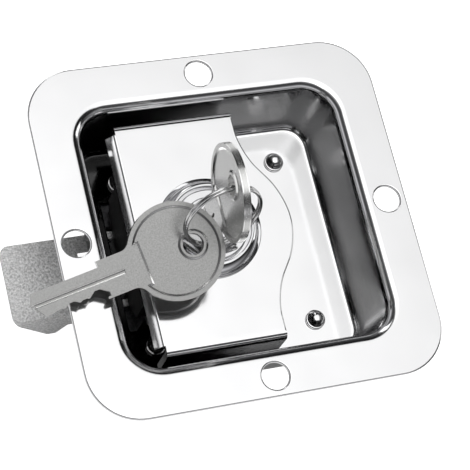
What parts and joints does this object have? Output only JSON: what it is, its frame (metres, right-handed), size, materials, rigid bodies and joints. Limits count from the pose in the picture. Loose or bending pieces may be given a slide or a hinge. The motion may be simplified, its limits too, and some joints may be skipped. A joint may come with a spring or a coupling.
{
  "type": "flush paddle latch",
  "caption": "Square flush paddle latch with a cam lock, a bevelled slam bolt and two keys on a split ring.",
  "frame": {"origin": "centre of the four flange holes, on the flange's back face where it seats on the panel", "axes": "+X from the bolt towards the finger tab, +Y up, +Z out of the panel towards the user"},
  "size_m": [0.105, 0.095, 0.0712],
  "materials": {
    "polished_stainless": "mirror polished stainless sheet",
    "zinc_plate": "grainy zinc-plated steel",
    "spring_steel": "bright drawn wire",
    "lock_chrome": "polished chrome",
    "wafer_brass": "plain stamped brass",
    "key_nickel": "satin nickel plate on brass"
  },
  "bodies": {
    "housing": {"pan": "polished_stainless", "bracket_rivets": "polished_stainless", "rear_bracket": "zinc_plate", "hinge_pin": "zinc_plate", "hinge_clip": "spring_steel", "lock_keeper": "zinc_plate", "spring_rod": "zinc_plate", "return_spring": "spring_steel"},
    "bolt": {"slam_bolt": "zinc_plate", "drive_pin": "zinc_plate"},
    "paddle": {"paddle": "polished_stainless", "lever": "zinc_plate", "lock_bezel": "lock_chrome", "lock_barrel": "lock_chrome", "lock_washer": "zinc_plate", "lock_nut": "zinc_plate"},
    "plug": {"lock_plug": "lock_chrome", "lock_wafers": "wafer_brass", "lock_cam": "zinc_plate", "cam_screw": "zinc_plate"},
    "lock_key": {"key": "key_nickel"},
    "ring": {"split_ring": "spring_steel"},
    "hanging_key": {"spare_key": "key_nickel"}
  },
  "joints": [
    {"name": "paddle_lift", "type": "hinge", "parent": "housing", "child": "paddle", "pos_m": [-0.022, 0, -0.0115], "axis": [0, -1, 0], "range_deg": [0, 33], "stiffness_Nm_per_rad": 0.15, "springref_deg": -34.38},
    {"name": "bolt_slide", "type": "slide", "parent": "housing", "child": "bolt", "axis": [1, 0, 0], "range_m": [0, 0.0099], "deforming": ["return_spring"]},
    {"name": "plug_turn", "type": "hinge", "parent": "paddle", "child": "plug", "pos_m": [-0.0065, 0, 0], "axis": [0, 0, -1], "range_deg": [0, 90]},
    {"name": "key_slide", "type": "slide", "parent": "plug", "child": "lock_key", "axis": [0, 0, 1], "range_m": [0, 0.02]},
    {"name": "ring_swing", "type": "hinge", "parent": "lock_key", "child": "ring", "pos_m": [-0.0065, 0, 0.0246], "axis": [1, 0, 0], "range_deg": [-90, 0]},
    {"name": "spare_travel", "type": "hinge", "parent": "ring", "child": "hanging_key", "pos_m": [-0.00777, -0.00342, 0.01507], "axis": [-0.1387, 0.9379, -0.318], "range_deg": [0, 35]}
  ],
  "couplings": [
    {"joint": "bolt_slide", "follows": "paddle_lift", "m_per_rad": 0.017059},
    {"joint": "spare_travel", "follows": "paddle_lift", "ratio": 1}
  ]
}
